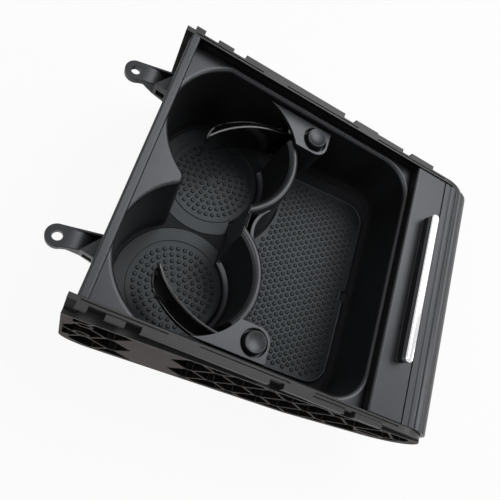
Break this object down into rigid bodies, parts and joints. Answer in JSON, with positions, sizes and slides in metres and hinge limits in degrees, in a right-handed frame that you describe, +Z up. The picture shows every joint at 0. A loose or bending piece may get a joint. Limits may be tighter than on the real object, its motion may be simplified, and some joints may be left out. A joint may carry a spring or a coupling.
{
  "type": "car cup holder",
  "caption": "Car centre-console cup holder with sprung cup grips, a lift-out divider, rubber mats and a roller shutter that slides over the wells",
  "frame": {"origin": "midway between the two tab holes, on the top face of the tabs", "axes": "+X from the tabs to the nose, +Y to the left side, +Z up with the cup floors level"},
  "size_m": [0.2364, 0.176, 0.0917],
  "materials": {
    "satin_plastic": "satin, fine grain",
    "gloss_plastic": "smooth gloss",
    "rubber_mat": "matt moulded rubber",
    "spring_steel": "drawn wire",
    "bright_trim": "bright plate"
  },
  "bodies": {
    "housing": {"tray": "satin_plastic", "front_frame": "satin_plastic", "left_cheek": "satin_plastic", "right_cheek": "satin_plastic", "frame_screws": "spring_steel", "divider": "satin_plastic", "left_flap_pin": "spring_steel", "right_flap_pin": "spring_steel", "left_cup_mat": "rubber_mat", "right_cup_mat": "rubber_mat", "bin_mat": "rubber_mat", "shutter_curtain": "satin_plastic", "left_button_spring": "spring_steel", "right_button_spring": "spring_steel"},
    "shutter": {"shutter_panel": "satin_plastic", "grip_trim": "bright_trim"},
    "left_grip": {"left_flap": "gloss_plastic", "left_flap_spring": "spring_steel"},
    "right_grip": {"right_flap": "gloss_plastic", "right_flap_spring": "spring_steel"},
    "left_button": {"left_release_button": "gloss_plastic"},
    "right_button": {"right_release_button": "gloss_plastic"}
  },
  "joints": [
    {"name": "shutter_slide", "type": "slide", "parent": "housing", "child": "shutter", "axis": [-0.9945, 0, 0.1045], "range_m": [0, 0.157]},
    {"name": "left_flap_hinge", "type": "hinge", "parent": "housing", "child": "left_grip", "pos_m": [0.0981, 0.0695, -0.0185], "axis": [0, 0, -1], "range_deg": [0, 17], "stiffness_Nm_per_rad": 0.06, "springref_deg": -14.32},
    {"name": "right_flap_hinge", "type": "hinge", "parent": "housing", "child": "right_grip", "pos_m": [0.0981, -0.0695, -0.0185], "axis": [0, 0, 1], "range_deg": [0, 17], "stiffness_Nm_per_rad": 0.06, "springref_deg": -14.32},
    {"name": "left_button_press", "type": "slide", "parent": "housing", "child": "left_button", "axis": [0, 0, -1], "range_m": [0, 0.003], "stiffness_N_per_m": 900, "springref_m": -0.001, "deforming": ["left_button_spring"]},
    {"name": "right_button_press", "type": "slide", "parent": "housing", "child": "right_button", "axis": [0, 0, -1], "range_m": [0, 0.003], "stiffness_N_per_m": 900, "springref_m": -0.001, "deforming": ["right_button_spring"]}
  ]
}
